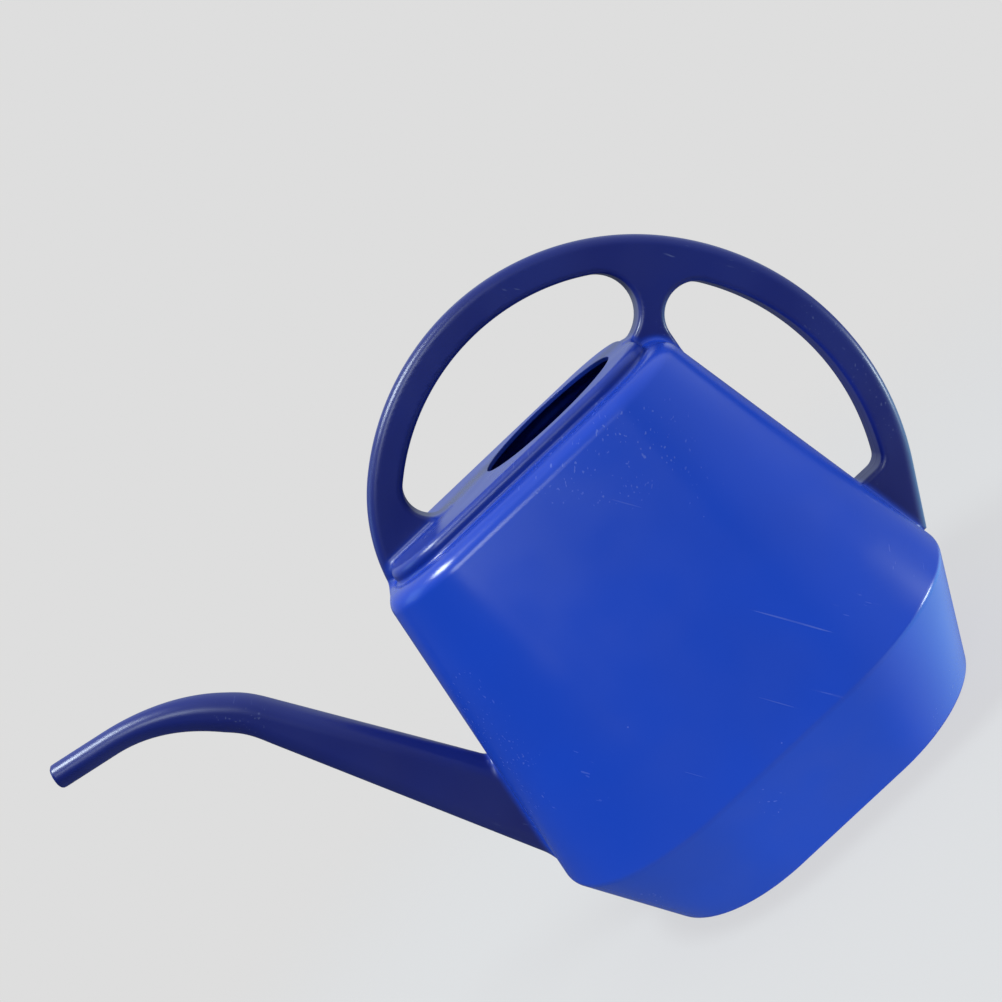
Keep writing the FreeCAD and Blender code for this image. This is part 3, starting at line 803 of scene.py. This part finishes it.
def close_shell(mesh, node):
    """Joins the skins with caps where they were cut, and says which faces are flat caps."""
    shell = bmesh.new()
    shell.from_mesh(mesh)
    flat = shell.faces.layers.int.new("flat")
    rims = dict.fromkeys(
        vertex for edge in shell.edges if len(edge.link_faces) == 1 for vertex in edge.verts
    )
    bmesh.ops.remove_doubles(shell, verts=list(rims), dist=SLIVER)
    if node == "deck":
        cut_opening(shell)
    cap_cuts(shell, flat)
    bmesh.ops.recalc_face_normals(shell, faces=shell.faces)
    flat_faces = np.array([face[flat] == 1 for face in shell.faces])
    open_edges = sum(len(edge.link_faces) != 2 for edge in shell.edges)
    if open_edges:
        print(f"{node} has {open_edges} open edges")
    for face in shell.faces:
        face.smooth = True
    shell.faces.layers.int.remove(flat)
    shell.to_mesh(mesh)
    shell.free()
    return flat_faces


def make_shell(node, outside, inside):
    """One closed piece from its stretch of the outside skin and of the inside skin."""
    mesh = both_skins(outside, inside)
    flat_faces = close_shell(mesh, node)
    mesh.normals_split_custom_set(corner_normals(mesh, flat_faces).tolist())
    paint_limb_shade(mesh)
    mesh.transform(Matrix.Scale(MM, 4))
    mesh.name = node + "_shell"
    piece = bpy.data.objects.new(node + "_shell", mesh)
    bpy.context.scene.collection.objects.link(piece)
    return piece


# grid lines along x, y and z, in stretches of low end, high end and spacing
OUTSIDE_LINES = (
    grid_lines((-228, 136, 1.25)),
    mirrored(grid_lines((0, 1, 0.25), (1, 2, 0.5), (2, 12, 0.9), (12, 86, 1.4))),
    grid_lines(
        (-2, 3, 0.7), (3, 42, 1.3), (42, 50, 0.7), (50, 168, 1.3), (168, 188, 0.65), (188, 246, 1.25)
    ),
)
INSIDE_LINES = (
    grid_lines((-232, 136, 2.2)),
    mirrored(grid_lines((0, 12, 1.5), (12, 86, 2.6))),
    grid_lines((-2, 168, 2.6), (168, 246, 1.8)),
)
TANK_NODES = ("base_tub", "tank_wall", "deck")


def build_can(tank_plastic, limb_plastic):
    outside = divided(outside_field, OUTSIDE_LINES)
    inside = divided(inside_field, INSIDE_LINES)
    for node in frame["nodes"]:
        piece = make_shell(node, outside[node], inside[node])
        tank = node in TANK_NODES
        piece.data.materials.append(tank_plastic if tank else limb_plastic)
        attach(piece, "root")
        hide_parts(node)


# ---------------------------------------------------------------------------
# Materials

TANK_COLOUR = (0.008, 0.051, 0.46)
# The limb colour is painted shade: the tank's plastic drawn darker for the handle and spout, and blended
# part way onto the deck and collar.
LIMB_SHADE_COLOUR = (0.008, 0.014, 0.14)
DEEP_COLOUR = tuple(part * 0.6 for part in TANK_COLOUR)
MARK_COLOUR = (0.30, 0.36, 0.62)
DEEP_SHARE = 0.14
MARK_SHARE = 0.16

ROUGHNESS = (0.21, 0.26)
MARK_ROUGHNESS = 0.18
LIMB_ROUGHNESS = 0.10
REFRACTION = 1.51

# cells to the metre
MOTTLE_SCALE = 22
SCUFF_SCALE = 45
RIPPLE_SCALE = 30
GRAIN_SCALE = 1400
SPECK_SCALE = 110
PATCH_SCALE = 17
HAIR_SCALE = (1100, 1100, 16)

# hairlines: the turn of each set, and its seed
HAIR_SETS = (((0.2, 0.55, 0.3), 1.7), ((1.1, -0.5, 0.1), 4.2))

# low and high end of a value's range, between which a ramp runs
NOISE_RANGE = (0.3, 0.7)
HAIR_RANGE = (0.72, 0.80)
PATCH_RANGE = (0.60, 0.70)
SPECK_RANGE = (0.02, 0.04)
CHANCE_RANGE = (0.94, 0.95)

GRAIN_HEIGHT = 0.012
MARK_DEPTH = 0.12
BUMP = {"Strength": 0.22, "Distance": 0.00025}


def new_material(name):
    material = bpy.data.materials.new(name)
    material.use_nodes = True
    nodes = material.node_tree.nodes
    return material, nodes, material.node_tree.links, nodes["Principled BSDF"]


def node_with(nodes, kind, **values):
    """A node of this kind with these properties and input values."""
    node = nodes.new(kind)
    for key, value in values.items():
        if hasattr(node, key):
            setattr(node, key, value)
        else:
            node.inputs[key.replace("_", " ")].default_value = value
    return node


def mathematics(nodes, links, operation, first, second):
    node = node_with(nodes, "ShaderNodeMath", operation=operation)
    for socket, value in zip(node.inputs, (first, second)):
        if isinstance(value, (int, float)):
            socket.default_value = value
        else:
            links.new(value, socket)
    return node.outputs[0]


def ramp(nodes, links, value, low, high, to_low=0.0, to_high=1.0):
    """A smooth change from to_low to to_high as the value goes from low to high."""
    node = node_with(nodes, "ShaderNodeMapRange", clamp=True, interpolation_type="SMOOTHSTEP")
    links.new(value, node.inputs["Value"])
    for name, number in (("From Min", low), ("From Max", high), ("To Min", to_low), ("To Max", to_high)):
        node.inputs[name].default_value = number
    return node.outputs[0]


def noise(nodes, links, place, scale, detail=2.0):
    node = node_with(nodes, "ShaderNodeTexNoise", Scale=scale, Detail=detail)
    links.new(place, node.inputs["Vector"])
    return node.outputs["Fac"]


def mapped(nodes, links, place, **values):
    node = node_with(nodes, "ShaderNodeMapping", **values)
    links.new(place, node.inputs["Vector"])
    return node.outputs[0]


def hairlines(nodes, links, place, turn, seed):
    """Hairlines: long thin cells of a stretched noise, kept only in a few patches."""
    turned = mapped(nodes, links, place, Rotation=turn)
    along = mapped(nodes, links, turned, Scale=HAIR_SCALE)
    lines = node_with(nodes, "ShaderNodeTexNoise", Scale=1.0, Detail=0.0)
    lines.noise_dimensions = "4D"
    lines.inputs["W"].default_value = seed
    links.new(along, lines.inputs["Vector"])
    hair = ramp(nodes, links, lines.outputs["Fac"], *HAIR_RANGE)
    patches = ramp(nodes, links, noise(nodes, links, turned, PATCH_SCALE), *PATCH_RANGE)
    return mathematics(nodes, links, "MULTIPLY", hair, patches)


def specks(nodes, links, place):
    """Fine dust and nicks: a small dot in a few cells out of many."""
    cells = node_with(nodes, "ShaderNodeTexVoronoi", Scale=SPECK_SCALE)
    links.new(place, cells.inputs["Vector"])
    chance = node_with(nodes, "ShaderNodeSeparateXYZ")
    links.new(cells.outputs["Color"], chance.inputs[0])
    dot = ramp(nodes, links, cells.outputs["Distance"], *SPECK_RANGE, 1, 0)
    chosen = ramp(nodes, links, chance.outputs[0], *CHANCE_RANGE)
    return mathematics(nodes, links, "MULTIPLY", dot, chosen)


def mix_colours(nodes, links, share, first, second):
    node = node_with(nodes, "ShaderNodeMix", data_type="RGBA")
    links.new(share, node.inputs[0])
    for socket, colour in ((node.inputs[6], first), (node.inputs[7], second)):
        if isinstance(colour, tuple):
            socket.default_value = (*colour, 1)
        else:
            links.new(colour, socket)
    return node.outputs[2]


def wear_marks(nodes, links, place):
    """Where the plastic is scratched or nicked, from 0 to 1."""
    marks = specks(nodes, links, place)
    for turn, seed in HAIR_SETS:
        marks = mathematics(nodes, links, "MAXIMUM", hairlines(nodes, links, place, turn, seed), marks)
    return marks


def plastic_colour(nodes, links, place, limb_shade, marks):
    # Painted shade: towards the handle, spout, deck and collar the colour blends to the darker limb colour.
    colour = mix_colours(nodes, links, limb_shade, TANK_COLOUR, LIMB_SHADE_COLOUR)
    mottle = ramp(nodes, links, noise(nodes, links, place, MOTTLE_SCALE, 1), *NOISE_RANGE)
    deep = mathematics(nodes, links, "MULTIPLY", mottle, DEEP_SHARE)
    colour = mix_colours(nodes, links, deep, colour, DEEP_COLOUR)
    pale = mathematics(nodes, links, "MULTIPLY", marks, MARK_SHARE)
    return mix_colours(nodes, links, pale, colour, MARK_COLOUR)


def plastic_roughness(nodes, links, place, limb_shade, marks):
    rough = ramp(nodes, links, noise(nodes, links, place, SCUFF_SCALE, 1), *NOISE_RANGE, *ROUGHNESS)
    for share, extra in ((marks, MARK_ROUGHNESS), (limb_shade, LIMB_ROUGHNESS)):
        added = mathematics(nodes, links, "MULTIPLY", share, extra)
        rough = mathematics(nodes, links, "ADD", rough, added)
    return rough


def plastic_bump(nodes, links, place, marks):
    """A slow ripple from the moulding, a fine grain, and the marks sunk into it."""
    ripple = noise(nodes, links, place, RIPPLE_SCALE, 0)
    grain = noise(nodes, links, place, GRAIN_SCALE, 2)
    height = mathematics(nodes, links, "MULTIPLY", grain, GRAIN_HEIGHT)
    height = mathematics(nodes, links, "ADD", height, ripple)
    sunk = mathematics(nodes, links, "MULTIPLY", marks, MARK_DEPTH)
    bump = node_with(nodes, "ShaderNodeBump", **BUMP)
    links.new(mathematics(nodes, links, "SUBTRACT", height, sunk), bump.inputs["Height"])
    return bump.outputs[0]


def moulded_plastic(name):
    """Blow-moulded polyethylene: semi-gloss, faintly mottled and scratched, with painted shade that darkens
    its limbs, deck and collar.
    """
    material, nodes, links, shader = new_material(name)
    place = node_with(nodes, "ShaderNodeTexCoord").outputs["Object"]
    # The limb share carries the painted shade of the colour, and also adds roughness.
    limb_shade = node_with(nodes, "ShaderNodeAttribute", attribute_name="limb_shade").outputs["Fac"]
    marks = wear_marks(nodes, links, place)
    links.new(plastic_colour(nodes, links, place, limb_shade, marks), shader.inputs["Base Color"])
    links.new(plastic_roughness(nodes, links, place, limb_shade, marks), shader.inputs["Roughness"])
    links.new(plastic_bump(nodes, links, place, marks), shader.inputs["Normal"])
    shader.inputs["IOR"].default_value = REFRACTION
    return material


# ---------------------------------------------------------------------------
# Camera, floor and lights

CAMERA_PLACE = Vector((0.0037, -0.5961, 0.2537))
CAMERA_YAW = -0.03231
CAMERA_PITCH = 0.13497
CAMERA_ROLL = math.radians(43.73)
CAMERA_LENS = 53.54
SENSOR = 36
NEAREST = 0.01


def add_camera():
    """The camera stands level with the fill opening and is rolled, so that the can looks tipped."""
    data = bpy.data.cameras.new("camera")
    data.lens = CAMERA_LENS
    data.sensor_width = SENSOR
    data.clip_start = NEAREST
    camera = bpy.data.objects.new("camera", data)
    bpy.context.scene.collection.objects.link(camera)
    level = Vector((math.sin(CAMERA_YAW), math.cos(CAMERA_YAW), 0))
    forward = level * math.cos(CAMERA_PITCH) - Vector((0, 0, math.sin(CAMERA_PITCH)))
    right = forward.cross(Vector((0, 0, 1))).normalized()
    up = right.cross(forward).normalized()
    turned_up = up * math.cos(CAMERA_ROLL) + right * math.sin(CAMERA_ROLL)
    turned_right = forward.cross(turned_up).normalized()
    camera.matrix_world = Matrix((
        (turned_right.x, turned_up.x, -forward.x, CAMERA_PLACE.x),
        (turned_right.y, turned_up.y, -forward.y, CAMERA_PLACE.y),
        (turned_right.z, turned_up.z, -forward.z, CAMERA_PLACE.z),
        (0, 0, 0, 1),
    ))
    bpy.context.scene.camera = camera


FLOOR_RADIUS = 1.2
FLOOR_FADE = (0.20, 0.62)
FLOOR_GLOW = 0.622
FLOOR_LIGHT = 1.4
FLOOR_TINT = (0.95, 1.0, 0.85)
FLOOR_COLOUR = 0.10
FLOOR_GAP = 0.0002
FLOOR_SIDES = 96


def floor_material():
    """Matt and glowing: a little for the eye, more for the can, and clear towards its edge."""
    material, nodes, links, shader = new_material("floor")
    shader.inputs["Base Color"].default_value = (FLOOR_COLOUR, FLOOR_COLOUR, FLOOR_COLOUR, 1)
    shader.inputs["Roughness"].default_value = 1.0
    shader.inputs["Specular IOR Level"].default_value = 0.0
    seen = node_with(nodes, "ShaderNodeLightPath").outputs["Is Camera Ray"]
    links.new(mix_colours(nodes, links, seen, FLOOR_TINT, (1, 1, 1)), shader.inputs["Emission Color"])
    glow = node_with(nodes, "ShaderNodeMix", data_type="FLOAT")
    links.new(seen, glow.inputs[0])
    glow.inputs[2].default_value, glow.inputs[3].default_value = FLOOR_LIGHT, FLOOR_GLOW
    links.new(glow.outputs[0], shader.inputs["Emission Strength"])
    place = node_with(nodes, "ShaderNodeTexCoord").outputs["Object"]
    distance = node_with(nodes, "ShaderNodeVectorMath", operation="LENGTH")
    links.new(place, distance.inputs[0])
    links.new(ramp(nodes, links, distance.outputs["Value"], *FLOOR_FADE, 1, 0), shader.inputs["Alpha"])
    return material


def add_floor():
    """A plain pale disc that fades into the surroundings, so that no horizon shows."""
    mesh = bpy.data.meshes.new("floor")
    shape = bmesh.new()
    bmesh.ops.create_circle(shape, cap_ends=True, radius=FLOOR_RADIUS, segments=FLOOR_SIDES)
    shape.to_mesh(mesh)
    shape.free()
    floor = bpy.data.objects.new("floor", mesh)
    floor.location.z = -FLOOR_GAP
    bpy.context.scene.collection.objects.link(floor)
    floor.data.materials.append(floor_material())
    floor.visible_glossy = False
    floor.visible_shadow = False


def add_area(name, place, target, size, power, colour):
    """A soft lamp, which the camera doesn't see."""
    data = bpy.data.lights.new(name, "AREA")
    data.shape = "RECTANGLE"
    data.size, data.size_y = size
    data.energy = power
    data.color = colour
    light = bpy.data.objects.new(name, data)
    light.location = place
    direction = Vector(target) - Vector(place)
    light.rotation_euler = direction.to_track_quat("-Z", "Y").to_euler()
    light.visible_camera = False
    bpy.context.scene.collection.objects.link(light)


# the world: low and high end of a direction's part along one axis, and the light at each
FRONT_TO_BACK = (-0.5, 0.8, 0.13, 0.62)
RIGHT = (0.15, 0.95, 0, 0.45)
LEFT = (-0.95, -0.1, 0.4, 1)
BELOW = (-0.12, 0.08, 0.25, 1)
ABOVE = (0.1, 0.9, 0, 0.4)
LOW_BAND = (-0.5, -0.2, 1, 0)
LOW_RIGHT = (0.1, 0.9, 0, 1)
LOW_RIGHT_LIGHT = 1.9
LOW_RIGHT_TINT = (0.35, 0.88, 1.0)
SKY_TINT = (0.72, 0.83, 1.0)
BACKDROP = 0.73


def world_light(nodes, links):
    """Dim from the front, brighter from behind, above and the right, and brightest low on the right."""
    way = node_with(nodes, "ShaderNodeSeparateXYZ")
    links.new(node_with(nodes, "ShaderNodeTexCoord").outputs["Generated"], way.inputs[0])
    x, y, z = way.outputs

    def joined(operation, first, *others):
        for other in others:
            first = mathematics(nodes, links, operation, first, other)
        return first

    depth = ramp(nodes, links, y, *FRONT_TO_BACK)
    right = ramp(nodes, links, x, *RIGHT)
    left = ramp(nodes, links, x, *LEFT)
    low = ramp(nodes, links, z, *BELOW)
    top = ramp(nodes, links, z, *ABOVE)
    low_right = joined("MULTIPLY", ramp(nodes, links, z, *LOW_BAND), ramp(nodes, links, x, *LOW_RIGHT))
    around = joined("MULTIPLY", joined("ADD", depth, right), left, low)
    strength = joined("ADD", around, top, joined("MULTIPLY", low_right, LOW_RIGHT_LIGHT))
    return strength, mix_colours(nodes, links, low_right, SKY_TINT, LOW_RIGHT_TINT)


def add_world():
    """Even grey to the eye, and lit by direction, so that each side of the can gets its own light."""
    world = bpy.data.worlds.new("world")
    world.use_nodes = True
    bpy.context.scene.world = world
    nodes, links = world.node_tree.nodes, world.node_tree.links
    seen = node_with(nodes, "ShaderNodeLightPath").outputs["Is Camera Ray"]
    strength = node_with(nodes, "ShaderNodeMix", data_type="FLOAT")
    links.new(seen, strength.inputs[0])
    light, tint = world_light(nodes, links)
    links.new(light, strength.inputs[2])
    strength.inputs[3].default_value = BACKDROP
    background = nodes["Background"]
    links.new(mix_colours(nodes, links, seen, tint, (1.0, 1.0, 1.0)), background.inputs["Color"])
    links.new(strength.outputs[0], background.inputs["Strength"])


# name, place, what it points at, size, watts and colour
LIGHTS = (
    ("lamp", (-0.37, -0.22, 1.10), (-0.03, 0, 0.15), (0.34, 0.24), 9.5, (0.86, 0.97, 1.0)),
    ("low", (1.25, -0.12, -0.34), (0, 0, 0.05), (0.30, 0.12), 6.0, (0.85, 0.97, 1.0)),
    ("rim", (-0.9, 0.1, 0.75), (0, 0, 0.15), (0.5, 0.5), 1.2, (0.42, 0.72, 1.0)),
    ("front", (-0.3, -1.4, 0.9), (0, 0, 0.1), (0.5, 0.5), 6.0, (0.85, 0.96, 1.0)),
)


add_camera()
add_floor()
add_world()
for light in LIGHTS:
    add_area(*light)
build_can(moulded_plastic("tank_plastic"), moulded_plastic("limb_plastic"))
bpy.context.scene.view_settings.view_transform = "Standard"
